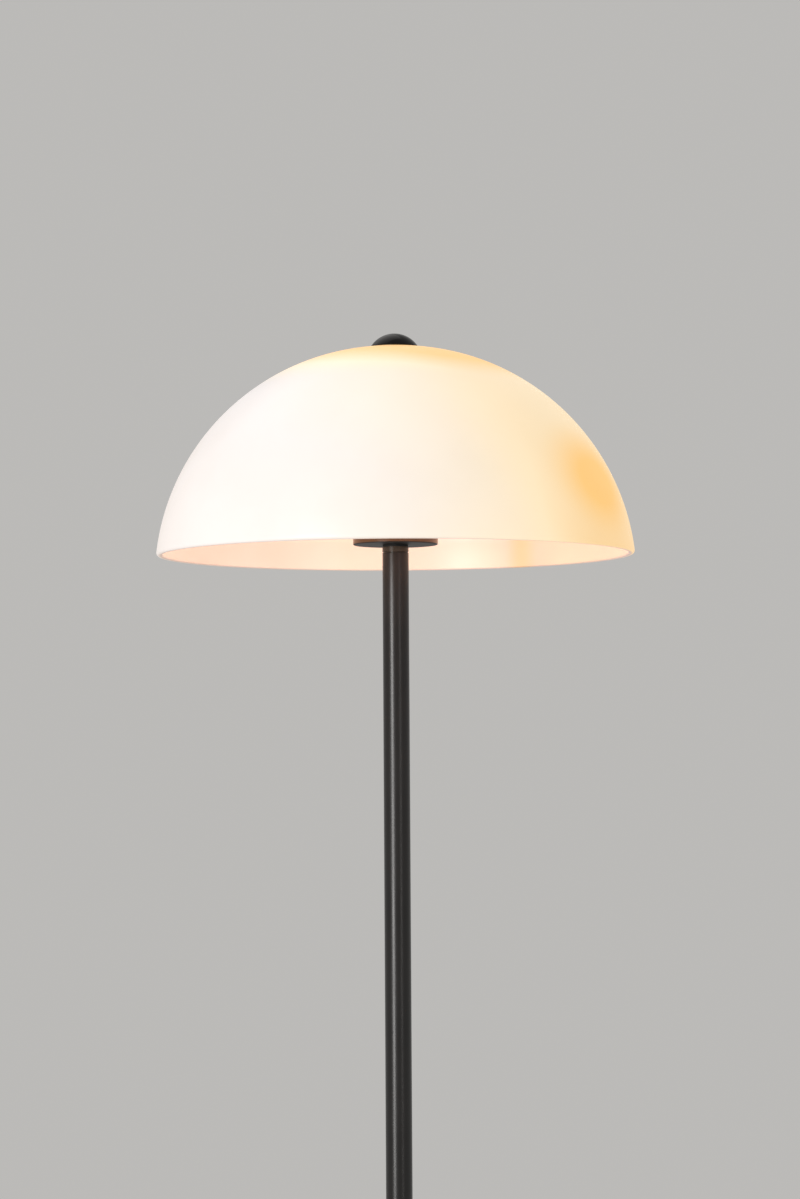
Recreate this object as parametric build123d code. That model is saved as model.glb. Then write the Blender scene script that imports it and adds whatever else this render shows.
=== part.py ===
from build123d import *
import os
from math import acos, asin, degrees, sqrt

os.makedirs("parts", exist_ok=True)

# A mushroom floor lamp, in millimetres. A weighted round foot carries a tube pole in two
# lengths, and a shallow pan on top of the pole carries a lampholder and a harp. An opal
# glass dome hangs over them from the top of the harp, held down by a domed knob.
# +Z is up, +Y is the back, and the origin is the middle of the foot, on the floor.

# The lamp as a whole
lamp_height = 1500.0

# Opal glass shade: its outer and inner faces are arcs that start at a small flat crown
shade_radius = 200.0
shade_height = 175.0
crown_flat_radius = 6.0
crown_wall = 4.2
rim_wall = 5.5
rim_outer_round = 2.5
rim_inner_round = 1.5
shade_hole_radius = 7.0
top_land_radius = 15.0
seat_land_radius = 26.0

# Knob on the crown, its brass insert, its washer and the bush in the glass
knob_radius = 20.5
knob_rise = 11.8
knob_gap = 0.7
insert_radius = 8.0
thread_engagement = 8.0
insert_end = 0.5
finial_washer_radius = 16.5
finial_washer_thickness = 1.5
bush_wall = 1.4
bush_flange_radius = 9.4
bush_flange_thickness = 0.8

# Lamp thread M10 x 1, drawn plain, and the clearances that the fits share
thread_radius = 5.0
nipple_bore_radius = 3.75
nipple_chamfer = 0.5
thread_clearance = 0.05
push_clearance = 0.05
loose_clearance = 0.3
face_clearance = 0.3

# Pole
pole_radius = 11.0
pole_wall = 1.2
pole_lower_length = 640.0
edge_break = 0.35
plug_length = 20.0
plug_flange_height = 4.9
plug_nose = 1.0
nipple_grip = 15.0

# Pan, and the ring between it and the pole
pan_radius = 35.5
pan_height = 14.0
pan_wall = 1.2
pan_round = 1.0
spacer_radius = 10.6
spacer_height = 1.6

# Harp and its saddle
saddle_thickness = 1.5
saddle_half_width = 7.0
harp_wire_radius = 2.25
harp_foot_reach = 25.0
harp_bow_reach = 46.0
harp_top_reach = 24.0
harp_foot_straight = 6.0
harp_lower_slope = 32.0
harp_upper_slope = 40.0
harp_foot_bend = 18.0
harp_bow_bend = 30.0
harp_shoulder_bend = 60.0
harp_top_bend = 20.0
socket_wall = 1.75
socket_height = 16.0
sleeve_wall = 1.4
sleeve_height = 10.0

# Stud on top of the harp, and the disc and gasket that the glass sits on
stud_block_radius = 7.0
stud_flange_radius = 9.5
stud_flange_thickness = 1.5
stud_block_above_wire = 8.0
stud_block_below_wire = 5.0
seat_radius = 28.0
seat_wall = 1.5
seat_skirt = 4.0
gasket_radius = 25.0
gasket_thickness = 2.0

# Nuts and washers on the lamp thread
nut_across_flats = 17.0
base_nut_height = 5.0
base_washer_radius = 11.0
base_washer_thickness = 1.6
top_nut_height = 4.0
top_washer_radius = 8.5
top_washer_thickness = 1.0
nipple_end = 0.9

# Lampholder for an E27 cap
holder_radius = 19.5
holder_neck_radius = 7.5
holder_neck_height = 3.0
holder_entry_depth = 5.5
holder_shoulder_height = 12.0
holder_cap_height = 15.0
holder_ledge_height = 10.0
holder_ledge_radius = 15.5
holder_wall = 1.5
holder_round = 2.0
holder_height = 50.0
holder_lip = 0.8
core_height = 9.0
core_wire_reach = 5.0
core_wire_depth = 5.0
screw_shell_wall = 0.4
screw_shell_height = 23.0
screw_shell_floor_radius = 9.0
contact_width = 5.0
contact_thickness = 0.5
contact_reach = 6.5
contact_rise = 2.0
side_contact_height = 7.0

# Bulb: opal A60 globe on an E27 cap
bulb_radius = 30.0
bulb_length = 105.0
bulb_neck_radius = 14.2
bulb_glass_wall = 1.0
bulb_glass_overlap = 4.0
bulb_cap_radius = 13.2
bulb_cap_wall = 0.5
bulb_cap_height = 27.0
bulb_insulator_radius = 10.6
bulb_insulator_height = 3.5
bulb_contact_radius = 4.8
bulb_contact_height = 1.5
bulb_running_clearance = 0.08
bulb_headroom = 10.1

# Foot
base_radius = 140.0
base_height = 22.0
cover_wall = 1.2
cover_round = 5.0
skirt_lift = 1.0
pad_thickness = 2.0
pad_inset = 6.0
pad_round = 0.6
weight_gap = 1.5
weight_chamfer = 4.0
pocket_radius = 42.0
pocket_depth = 13.5

# Cord inlet at the back of the foot, the clamp and the terminal block in the pocket
gland_bore_radius = 3.3
gland_wall = 1.3
gland_barb = 0.8
gland_barb_length = 2.4
gland_flange_radius = 6.4
gland_flange_thickness = 2.0
gland_nose_radius = 5.0
gland_nose_length = 2.3
gland_inner_length = 8.0
gland_round = 0.7
channel_clearance = 0.6
clamp_setback = 1.5
clamp_length = 6.0
clamp_foot_width = 6.0
clamp_belly = 2.2
clamp_round = 0.8
clamp_screw_radius = 1.5
clamp_screw_head_radius = 2.7
clamp_screw_head_height = 1.8
clamp_screw_grip = 3.5
block_front = 16.0
block_length = 16.0
block_pitch = 8.0
block_barrel_radius = 3.8
block_web_half_width = 6.5
block_wire_radius = 1.5
block_screw_radius = 1.4
block_screw_length = 3.0
block_screw_spacing = 8.0
screw_slot_width = 0.6
screw_slot_depth = 0.7

# Two-core lead inside the pole
lead_radius = 2.9
core_radius = 1.1
core_offset = 1.5
core_bend = 3.0
core_overlap = 2.0
core_floor_gap = 1.9
core_tail = 3.0
lead_strip_length = 6.0


def arc_sphere_radius(half_width, rise):
    """Radius of the arc that is level at its top and falls by rise over half_width."""
    return (half_width**2 + rise**2) / (2 * rise)


def height_on_arc(sphere_radius, apex, distance):
    """Height of an arc whose top is at apex, at a distance from its middle."""
    return apex - sphere_radius + sqrt(sphere_radius**2 - distance**2)


# Shade heights are taken from its rim
outer_arc = arc_sphere_radius(shade_radius - crown_flat_radius, shade_height)
inner_arc = arc_sphere_radius(shade_radius - rim_wall - crown_flat_radius, shade_height - crown_wall)
top_land = height_on_arc(outer_arc, shade_height, top_land_radius - crown_flat_radius)
seat_land = height_on_arc(inner_arc, shade_height - crown_wall, seat_land_radius - crown_flat_radius)

# Heights above the floor, worked downwards from the knob to the top of the pole
rim_z = lamp_height - knob_rise - knob_gap - top_land
crown_z = rim_z + top_land
knob_z = crown_z + knob_gap
washer_recess = finial_washer_thickness - knob_gap
insert_z = knob_z + washer_recess
stud_top_z = insert_z + thread_engagement
gasket_z = rim_z + seat_land - gasket_thickness
seat_z = gasket_z - seat_wall
harp_top_z = seat_z - stud_block_above_wire
bulb_z = harp_top_z - stud_block_below_wire - bulb_headroom - bulb_length
bulb_cap_top_z = bulb_z + bulb_cap_height
bulb_centre_z = bulb_z + bulb_length - bulb_radius
core_top_z = bulb_z - face_clearance - contact_rise
core_z = core_top_z - core_height
holder_z = core_z - holder_ledge_height
top_nut_z = holder_z - top_nut_height
saddle_top_z = top_nut_z - top_washer_thickness
pan_floor_z = saddle_top_z - saddle_thickness
pan_z = pan_floor_z - pan_wall
spacer_z = pan_z - spacer_height
pole_top_z = spacer_z - plug_flange_height

# Upwards again from the pan floor
socket_top_z = saddle_top_z + socket_height
harp_foot_z = saddle_top_z + face_clearance
top_nipple_top_z = holder_z + holder_entry_depth + nipple_chamfer

# In the foot, from the floor
cover_inner_top_z = base_height - cover_wall
pocket_roof_z = pad_thickness + pocket_depth
cord_z = pad_thickness + pocket_depth / 2
base_washer_z = pocket_roof_z - base_washer_thickness
base_nut_z = base_washer_z - base_nut_height
base_nipple_bottom_z = base_nut_z - nipple_end
pole_bottom_z = base_height + plug_flange_height
pole_seam_z = pole_bottom_z + pole_lower_length

# Radii that the fits share
pole_bore_radius = pole_radius - pole_wall
threaded_hole_radius = thread_radius + thread_clearance
thread_passing_radius = thread_radius + loose_clearance
socket_bore_radius = harp_wire_radius + push_clearance
gland_body_radius = gland_bore_radius + gland_wall
gland_barb_radius = gland_body_radius + gland_barb
channel_half_width = gland_barb_radius + channel_clearance
weight_radius = base_radius - cover_wall - weight_gap
clamp_inner_half_width = gland_bore_radius + gland_wall
clamp_outer_half_width = clamp_inner_half_width + clamp_foot_width
clamp_back = pocket_radius - clamp_setback
clamp_screw_reach = clamp_inner_half_width + clamp_foot_width / 2
clamp_foot_z = cord_z - gland_bore_radius


def turned(*corners):
    """Turn a closed outline about Z. A corner is (radius, height) or (radius, height, rounding)."""
    points = [corner[:2] for corner in corners]
    rounding = [corner[2] if len(corner) == 3 else 0 for corner in corners]
    outline = FilletPolyline(*points, radius=rounding, close=True)
    return revolve(Plane.XZ * make_face(outline), Axis.Z)


def ring(inner_radius, outer_radius, bottom, top):
    """A plain washer, ring or sleeve about the lamp's axis."""
    return turned((inner_radius, bottom), (outer_radius, bottom), (outer_radius, top), (inner_radius, top))


def rod(radius, length, place):
    """A cylinder that starts at a place and runs along its +Z."""
    return place * Cylinder(radius, length, align=(Align.CENTER, Align.CENTER, Align.MIN))


def wire(route, radius):
    """A round bar along a route of straight runs and tangent arcs."""
    return sweep(Plane(origin=route @ 0, z_dir=route % 0) * Circle(radius), route)


def nipple(bottom, top):
    """Hollow M10 x 1 stud, with the thread drawn plain."""
    shoulder = thread_radius - nipple_chamfer
    return turned(
        (nipple_bore_radius, bottom),
        (shoulder, bottom),
        (thread_radius, bottom + nipple_chamfer),
        (thread_radius, top - nipple_chamfer),
        (shoulder, top),
        (nipple_bore_radius, top),
    )


def hex_nut(bottom, height):
    """Hexagon nut on the lamp thread, with its corners chamfered on both faces."""
    hexagon = RegularPolygon(nut_across_flats / 2, 6, major_radius=False)
    corner_radius = nut_across_flats / sqrt(3)
    corner_fall = (corner_radius - nut_across_flats / 2) / sqrt(3)
    barrel = turned(
        (threaded_hole_radius, bottom),
        (nut_across_flats / 2, bottom),
        (corner_radius, bottom + corner_fall),
        (corner_radius, bottom + height - corner_fall),
        (nut_across_flats / 2, bottom + height),
        (threaded_hole_radius, bottom + height),
    )
    return barrel & (Pos(0, 0, bottom) * extrude(hexagon, height))


# Foot

def base_pad():
    radius = base_radius - pad_inset
    return turned((0, 0), (radius, 0, pad_round), (radius, pad_thickness), (0, pad_thickness))


def base_weight():
    """Cast disc with a pocket for the wiring below and a channel from it to the back."""
    body = turned(
        (thread_passing_radius, pocket_roof_z),
        (pocket_radius, pocket_roof_z),
        (pocket_radius, pad_thickness),
        (weight_radius, pad_thickness),
        (weight_radius, cover_inner_top_z - weight_chamfer),
        (weight_radius - weight_chamfer, cover_inner_top_z),
        (thread_passing_radius, cover_inner_top_z),
    )
    channel = Pos(0, 0, pad_thickness) * Box(
        2 * channel_half_width,
        base_radius,
        pocket_depth,
        align=(Align.CENTER, Align.MIN, Align.MIN),
    )
    near_pocket = Pos(0, clamp_back, 0) * channel
    tapped = [
        rod(clamp_screw_radius + thread_clearance, clamp_screw_grip, Pos(x, clamp_middle(), pocket_roof_z))
        for x in (-clamp_screw_reach, clamp_screw_reach)
    ]
    return body - near_pocket - tapped


def base_cover():
    """Spun sheet cover with a rounded edge and a hole at the back for the cord inlet."""
    inner_radius = base_radius - cover_wall
    shell = turned(
        (thread_passing_radius, cover_inner_top_z),
        (inner_radius, cover_inner_top_z, cover_round - cover_wall),
        (inner_radius, skirt_lift),
        (base_radius, skirt_lift),
        (base_radius, base_height, cover_round),
        (thread_passing_radius, base_height),
    )
    hole_radius = gland_body_radius + loose_clearance
    inlet = rod(hole_radius, 2 * gland_inner_length, inlet_place(-gland_inner_length))
    return shell - inlet


def inlet_place(outwards):
    """A place on the cord's axis, with +Z pointing out of the back of the foot."""
    return Pos(0, base_radius + outwards, cord_z) * Rot(-90, 0, 0)


def cable_gland():
    """Push-in bush: a flange and nose outside the skirt, a barb and sleeve inside it."""
    inside = -cover_wall - loose_clearance
    body = turned(
        (gland_bore_radius, -gland_inner_length),
        (gland_body_radius, -gland_inner_length),
        (gland_body_radius, inside - gland_barb_length),
        (gland_barb_radius, inside),
        (gland_body_radius, inside),
        (gland_body_radius, loose_clearance),
        (gland_flange_radius, loose_clearance),
        (gland_flange_radius, loose_clearance + gland_flange_thickness, gland_round),
        (gland_nose_radius, loose_clearance + gland_flange_thickness),
        (gland_nose_radius, loose_clearance + gland_flange_thickness + gland_nose_length, gland_round),
        (gland_bore_radius, loose_clearance + gland_flange_thickness + gland_nose_length),
    )
    return inlet_place(0) * body


def clamp_middle():
    return clamp_back - clamp_length / 2


def cord_clamp():
    """Saddle on two feet that holds the cord up against the roof of the pocket."""
    profile = FilletPolyline(
        (-clamp_outer_half_width, pocket_roof_z),
        (-clamp_outer_half_width, clamp_foot_z),
        (-clamp_inner_half_width, clamp_foot_z - clamp_belly),
        (clamp_inner_half_width, clamp_foot_z - clamp_belly),
        (clamp_outer_half_width, clamp_foot_z),
        (clamp_outer_half_width, pocket_roof_z),
        (clamp_inner_half_width, pocket_roof_z),
        (clamp_inner_half_width, clamp_foot_z),
        (-clamp_inner_half_width, clamp_foot_z),
        (-clamp_inner_half_width, pocket_roof_z),
        radius=[0, clamp_round, clamp_round, clamp_round, clamp_round, 0, 0, clamp_round, clamp_round, 0],
        close=True,
    )
    bridge = Pos(0, clamp_middle(), 0) * extrude(Plane.XZ * make_face(profile), clamp_length / 2, both=True)
    for x in (-clamp_screw_reach, clamp_screw_reach):
        hole = rod(clamp_screw_radius + push_clearance, pocket_depth, Pos(x, clamp_middle(), pad_thickness))
        seat = rod(
            clamp_screw_head_radius + loose_clearance,
            clamp_foot_z - pad_thickness,
            Pos(x, clamp_middle(), pad_thickness),
        )
        bridge -= hole + seat
    return bridge


def cord_clamp_screws():
    """Two slotted screws, driven upwards from below."""
    screws = []
    for x in (-clamp_screw_reach, clamp_screw_reach):
        place = Pos(x, clamp_middle(), clamp_foot_z)
        shank_length = pocket_roof_z - clamp_foot_z + clamp_screw_grip - face_clearance
        shank = rod(clamp_screw_radius, shank_length, place)
        head_place = place * Pos(0, 0, -clamp_screw_head_height)
        head = rod(clamp_screw_head_radius, clamp_screw_head_height, head_place)
        slot = head_place * Box(2 * clamp_screw_head_radius, screw_slot_width, 2 * screw_slot_depth)
        screws.append(shank + head - slot)
    return Compound(children=screws)


def block_barrel_places():
    """Ends of the two barrels that face the nipple, with +Z running backwards along them."""
    return [Pos(x, block_front, cord_z) * Rot(-90, 0, 0) for x in (-block_pitch / 2, block_pitch / 2)]


def block_screw_places():
    """Mouths of the four screw holes, below the barrels, with +Z pointing up."""
    middle = block_front + block_length / 2
    return [
        Pos(x, y, cord_z - block_barrel_radius)
        for x in (-block_pitch / 2, block_pitch / 2)
        for y in (middle - block_screw_spacing / 2, middle + block_screw_spacing / 2)
    ]


def terminal_block():
    """Two moulded barrels under a web that is fixed to the roof of the pocket."""
    web = Pos(0, block_front + block_length / 2, cord_z) * Box(
        2 * block_web_half_width,
        block_length,
        pocket_roof_z - cord_z,
        align=(Align.CENTER, Align.CENTER, Align.MIN),
    )
    barrels = [rod(block_barrel_radius, block_length, place) for place in block_barrel_places()]
    bores = [rod(block_wire_radius, block_length, place) for place in block_barrel_places()]
    screw_hole_radius = block_screw_radius + push_clearance
    screw_holes = [rod(screw_hole_radius, block_barrel_radius, place) for place in block_screw_places()]
    return web + barrels - bores - screw_holes


def terminal_screws():
    """Four slotted screws in the barrels, heads just inside their holes."""
    screws = []
    for place in block_screw_places():
        sunk = place * Pos(0, 0, face_clearance)
        length = min(block_screw_length, block_barrel_radius - block_wire_radius)
        screw = rod(block_screw_radius, length, sunk)
        screws.append(screw - sunk * Box(2 * block_screw_radius, screw_slot_width, 2 * screw_slot_depth))
    return Compound(children=screws)


def base_washer():
    return ring(thread_passing_radius, base_washer_radius, base_washer_z, pocket_roof_z)


def base_nut():
    return hex_nut(base_nut_z, base_nut_height)


def base_nipple():
    return nipple(base_nipple_bottom_z, base_height + nipple_grip)


# Pole

def pole_tube(bottom, top):
    """A length of tube whose edges are broken, so that a joint shows as a fine line."""
    return turned(
        (pole_bore_radius, bottom),
        (pole_radius - edge_break, bottom),
        (pole_radius, bottom + edge_break),
        (pole_radius, top - edge_break),
        (pole_radius - edge_break, top),
        (pole_bore_radius, top),
    )


def joint_plug():
    """Threaded plug for a tube's end, from its face at Z = 0 up into the tube."""
    radius = pole_bore_radius - push_clearance
    return turned(
        (threaded_hole_radius, 0),
        (radius, 0),
        (radius, plug_length - plug_nose),
        (radius - plug_nose, plug_length),
        (threaded_hole_radius, plug_length),
    )


def end_plug():
    """The same plug with a flange as wide as the pole, which shows below Z = 0."""
    flange = turned(
        (threaded_hole_radius, -plug_flange_height),
        (pole_radius - edge_break, -plug_flange_height),
        (pole_radius, edge_break - plug_flange_height),
        (pole_radius, -edge_break),
        (pole_radius - edge_break, 0),
        (threaded_hole_radius, 0),
    )
    return joint_plug() + flange


def joint_nipple():
    return nipple(pole_seam_z - nipple_grip, pole_seam_z + nipple_grip)


# Pan, harp and shade seat

def spacer_ring():
    return ring(thread_passing_radius, spacer_radius, spacer_z, pan_z)


def shade_pan():
    """Spun pan, open upwards, that hides the lampholder from below."""
    inner_radius = pan_radius - pan_wall
    top = pan_z + pan_height
    return turned(
        (thread_passing_radius, pan_z),
        (pan_radius, pan_z, pan_round),
        (pan_radius, top),
        (inner_radius, top),
        (inner_radius, pan_floor_z),
        (thread_passing_radius, pan_floor_z),
    )


def top_nipple():
    return nipple(pole_top_z + plug_flange_height - nipple_grip, top_nipple_top_z)


def top_washer():
    return ring(thread_passing_radius, top_washer_radius, saddle_top_z, top_nut_z)


def top_nut():
    return hex_nut(top_nut_z, top_nut_height)


def harp_saddle():
    """Flat strip on the pan floor, with a socket for each leg of the harp."""
    strip = SlotCenterToCenter(2 * harp_foot_reach, 2 * saddle_half_width) - Circle(thread_passing_radius)
    saddle = Pos(0, 0, pan_floor_z) * extrude(strip, saddle_thickness)
    for x in (-harp_foot_reach, harp_foot_reach):
        saddle += Pos(x, 0, 0) * ring(
            socket_bore_radius, socket_bore_radius + socket_wall, saddle_top_z, socket_top_z
        )
    return saddle


def harp():
    """One bent rod: legs in the sockets, bowed round the bulb, and level across the top."""
    foot_top_z = socket_top_z + sleeve_height + harp_foot_straight
    right_side = [
        (harp_foot_reach, 0, harp_foot_z),
        (harp_foot_reach, 0, foot_top_z),
        (harp_bow_reach, 0, foot_top_z + harp_lower_slope),
        (harp_bow_reach, 0, harp_top_z - harp_upper_slope),
        (harp_top_reach, 0, harp_top_z),
    ]
    left_side = [(-x, y, z) for x, y, z in reversed(right_side)]
    bends = [harp_foot_bend, harp_bow_bend, harp_shoulder_bend, harp_top_bend]
    route = FilletPolyline(*right_side, *left_side, radius=bends + bends[::-1])
    return wire(route, harp_wire_radius)


def harp_sleeves():
    """Locking sleeves that slide down over the legs and rest on the sockets."""
    sleeve = ring(
        socket_bore_radius, socket_bore_radius + sleeve_wall, socket_top_z, socket_top_z + sleeve_height
    )
    return Compound(children=[Pos(x, 0, 0) * sleeve for x in (-harp_foot_reach, harp_foot_reach)])


def harp_stud():
    """Turned block on the harp's top bar, with the M10 x 1 stud that the knob screws on to."""
    body = turned(
        (0, harp_top_z - stud_block_below_wire),
        (stud_block_radius, harp_top_z - stud_block_below_wire, nipple_chamfer),
        (stud_block_radius, seat_z - stud_flange_thickness),
        (stud_flange_radius, seat_z - stud_flange_thickness),
        (stud_flange_radius, seat_z),
        (thread_radius, seat_z),
        (thread_radius, stud_top_z - nipple_chamfer),
        (thread_radius - nipple_chamfer, stud_top_z),
        (0, stud_top_z),
    )
    cross_hole = rod(
        socket_bore_radius,
        2 * stud_block_radius,
        Pos(-stud_block_radius, 0, harp_top_z) * Rot(0, 90, 0),
    )
    return body - cross_hole


def shade_seat():
    """Disc under the crown, with its edge turned down for stiffness."""
    bottom = gasket_z - seat_skirt
    return turned(
        (thread_passing_radius, seat_z),
        (seat_radius - seat_wall, seat_z),
        (seat_radius - seat_wall, bottom),
        (seat_radius, bottom),
        (seat_radius, gasket_z, seat_wall),
        (thread_passing_radius, gasket_z),
    )


def seat_gasket():
    return ring(thread_passing_radius, gasket_radius, gasket_z, gasket_z + gasket_thickness)


# Lampholder

def lampholder_cap():
    """Moulded lower half: a neck on the nipple, flared to the ledge that the core sits on."""
    inner_radius = holder_radius - holder_wall
    body = turned(
        (threaded_hole_radius, 0),
        (holder_neck_radius, 0),
        (holder_neck_radius, holder_neck_height, holder_round),
        (holder_radius, holder_shoulder_height, holder_round),
        (holder_radius, holder_cap_height),
        (inner_radius, holder_cap_height),
        (inner_radius, holder_ledge_height),
        (holder_ledge_radius, holder_ledge_height),
        (threaded_hole_radius + holder_wall, holder_entry_depth),
        (threaded_hole_radius, holder_entry_depth),
    )
    return Pos(0, 0, holder_z) * body


def lampholder_core():
    """Ceramic disc between the two halves, with a hole for each core of the lead."""
    radius = holder_radius - holder_wall - loose_clearance
    disc = turned((0, core_z), (radius, core_z), (radius, core_top_z), (0, core_top_z))
    holes = [
        rod(core_radius + loose_clearance, core_wire_depth, Pos(x, 0, core_z))
        for x in (-core_wire_reach, core_wire_reach)
    ]
    return disc - holes


def lampholder_contacts():
    """Sprung centre contact, and the side contact that stands against the screw shell."""
    bent_strip = FilletPolyline(
        (-contact_reach, contact_thickness / 2),
        (-contact_reach / 2, contact_thickness / 2),
        (0, contact_rise - contact_thickness / 2),
        (contact_reach / 2, contact_rise - contact_thickness / 2),
        radius=[contact_thickness, contact_thickness],
    )
    strip = Plane.XZ * trace(bent_strip, contact_thickness)
    centre = Pos(0, 0, core_top_z) * extrude(strip, contact_width / 2, both=True)
    screw_shell_radius = bulb_cap_radius + bulb_running_clearance + screw_shell_wall
    side = Pos(screw_shell_radius + loose_clearance, 0, core_top_z) * Box(
        contact_thickness,
        contact_width,
        side_contact_height,
        align=(Align.MIN, Align.CENTER, Align.MIN),
    )
    return Compound(children=[centre, side])


def screw_shell():
    """Brass sleeve that the bulb screws into, its floor ring resting on the core."""
    inner_radius = bulb_cap_radius + bulb_running_clearance
    outer_radius = inner_radius + screw_shell_wall
    return turned(
        (screw_shell_floor_radius, core_top_z),
        (outer_radius, core_top_z),
        (outer_radius, core_top_z + screw_shell_height),
        (inner_radius, core_top_z + screw_shell_height),
        (inner_radius, core_top_z + screw_shell_wall),
        (screw_shell_floor_radius, core_top_z + screw_shell_wall),
    )


def lampholder_skirt():
    """Moulded upper half, which clamps the core and stands up round the bulb's cap."""
    seat_radius_inside = holder_radius - holder_wall
    throat_radius = holder_ledge_radius
    top = holder_z + holder_height
    return turned(
        (seat_radius_inside, holder_z + holder_cap_height),
        (holder_radius, holder_z + holder_cap_height),
        (holder_radius, top, holder_lip),
        (throat_radius, top, holder_lip),
        (throat_radius, core_top_z),
        (seat_radius_inside, core_top_z),
    )


def internal_lead():
    """Two-core lead from the terminal block, up the pole, to the underside of the core."""
    sheath_bottom = base_nipple_bottom_z + lead_strip_length
    sheath_top = top_nipple_top_z - lead_strip_length
    lead = rod(lead_radius, sheath_top - sheath_bottom, Pos(0, 0, sheath_bottom))
    core_floor_z = pad_thickness + core_radius + core_floor_gap
    rise_start = base_washer_radius - face_clearance
    for side in (-1, 1):
        near_axis = side * core_offset
        at_block = side * block_pitch / 2
        at_holder = side * core_wire_reach
        lower = FilletPolyline(
            (near_axis, 0, sheath_bottom + core_overlap),
            (near_axis, 0, core_floor_z),
            (at_block, rise_start, core_floor_z),
            (at_block, block_front - core_radius, cord_z),
            (at_block, block_front + core_tail, cord_z),
            radius=core_bend,
        )
        upper = FilletPolyline(
            (near_axis, 0, sheath_top - core_overlap),
            (near_axis, 0, top_nipple_top_z),
            (at_holder, 0, core_z),
            (at_holder, 0, core_z + core_wire_depth - face_clearance),
            radius=core_bend,
        )
        lead += wire(lower, core_radius)
        lead += wire(upper, core_radius)
    return lead


# Bulb

def bulb_globe():
    """Blown opal envelope: a ball on a neck that widens up to it along a tangent."""
    neck_drop = bulb_centre_z - bulb_cap_top_z
    neck_distance = sqrt(bulb_neck_radius**2 + neck_drop**2)
    tangent_angle = degrees(acos(bulb_radius / neck_distance)) + degrees(acos(neck_drop / neck_distance))
    ball = CenterArc((0, 0), bulb_radius, 90, tangent_angle - 180)
    spigot_radius = bulb_cap_radius - bulb_cap_wall - push_clearance
    outside = [
        ball,
        Polyline(
            ball @ 1,
            (bulb_neck_radius, -neck_drop),
            (spigot_radius, -neck_drop),
            (spigot_radius, -neck_drop - bulb_glass_overlap),
            (spigot_radius - bulb_glass_wall, -neck_drop - bulb_glass_overlap),
        ),
    ]
    inner_ball = CenterArc((0, 0), bulb_radius - bulb_glass_wall, 90, tangent_angle - 180)
    inside = [
        inner_ball,
        Polyline(
            inner_ball @ 1,
            (spigot_radius - bulb_glass_wall, -neck_drop),
            (spigot_radius - bulb_glass_wall, -neck_drop - bulb_glass_overlap),
        ),
        Line(inner_ball @ 0, ball @ 0),
    ]
    profile = Plane.XZ * make_face(outside + inside)
    return Pos(0, 0, bulb_centre_z) * revolve(profile, Axis.Z)


def bulb_cap():
    """Thin metal cap, its foot drawn in to the insulator, with the thread drawn plain."""
    foot_z = bulb_z + bulb_contact_height + bulb_insulator_height
    draw_in = bulb_cap_radius - bulb_insulator_radius
    return turned(
        (bulb_insulator_radius - bulb_cap_wall, foot_z),
        (bulb_insulator_radius, foot_z),
        (bulb_cap_radius, foot_z + draw_in),
        (bulb_cap_radius, bulb_cap_top_z),
        (bulb_cap_radius - bulb_cap_wall, bulb_cap_top_z),
        (bulb_cap_radius - bulb_cap_wall, foot_z + draw_in),
    )


def bulb_insulator():
    bottom = bulb_z + bulb_contact_height
    top = bottom + bulb_insulator_height
    return turned((0, bottom), (bulb_contact_radius, bottom), (bulb_insulator_radius, top), (0, top))


def bulb_contact():
    top = bulb_z + bulb_contact_height
    return turned(
        (0, bulb_z),
        (bulb_contact_radius, bulb_z, bulb_contact_height / 2),
        (bulb_contact_radius, top),
        (0, top),
    )


# Shade and knob

def dome_face(sphere_radius, apex, land_radius):
    """One face of the glass in section, from the rim plane up to the flat land at the crown."""
    centre_height = apex - sphere_radius
    rim_angle = degrees(asin(-centre_height / sphere_radius))
    land_angle = degrees(acos((land_radius - crown_flat_radius) / sphere_radius))
    return CenterArc((crown_flat_radius, centre_height), sphere_radius, rim_angle, land_angle - rim_angle)


def shade():
    """Blown dome, thicker at the rim than at the crown, ground flat round its hole."""
    outer = dome_face(outer_arc, shade_height, top_land_radius)
    inner = dome_face(inner_arc, shade_height - crown_wall, seat_land_radius)
    hole = Polyline(outer @ 1, (shade_hole_radius, top_land), (shade_hole_radius, seat_land), inner @ 1)
    section = make_face([outer, hole, inner, Line(inner @ 0, outer @ 0)])
    section = fillet(section.vertices().sort_by(Axis.X)[-1], rim_outer_round)
    section = fillet(section.vertices().sort_by_distance((shade_radius - rim_wall, 0))[0], rim_inner_round)
    return Pos(0, 0, rim_z) * revolve(Plane.XZ * section, Axis.Z)


def shade_bush():
    """Flanged sleeve that keeps the stud off the edge of the hole in the glass."""
    bore = thread_passing_radius
    sleeve = bore + bush_wall
    return turned(
        (bore, gasket_z + gasket_thickness + face_clearance),
        (sleeve, gasket_z + gasket_thickness + face_clearance),
        (sleeve, crown_z),
        (bush_flange_radius, crown_z),
        (bush_flange_radius, crown_z + bush_flange_thickness),
        (bore, crown_z + bush_flange_thickness),
    )


def finial_washer():
    bore = bush_flange_radius + face_clearance
    return ring(bore, finial_washer_radius, crown_z, crown_z + finial_washer_thickness)


def finial_insert():
    top = insert_z + thread_engagement + insert_end
    return ring(threaded_hole_radius, insert_radius, insert_z, top)


def finial_knob():
    """Turned dome, recessed below for the washer and bored for the insert."""
    sphere_radius = arc_sphere_radius(knob_radius, knob_rise)
    edge_angle = degrees(acos(knob_radius / sphere_radius))
    dome = CenterArc((0, knob_z + knob_rise - sphere_radius), sphere_radius, edge_angle, 90 - edge_angle)
    recess_radius = finial_washer_radius + face_clearance
    bore_radius = insert_radius + push_clearance
    bore_top = insert_z + thread_engagement + insert_end
    below = Polyline(
        dome @ 0,
        (recess_radius, knob_z),
        (recess_radius, insert_z),
        (bore_radius, insert_z),
        (bore_radius, bore_top),
        (0, bore_top),
        dome @ 1,
    )
    return revolve(Plane.XZ * make_face([dome, below]), Axis.Z)


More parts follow.
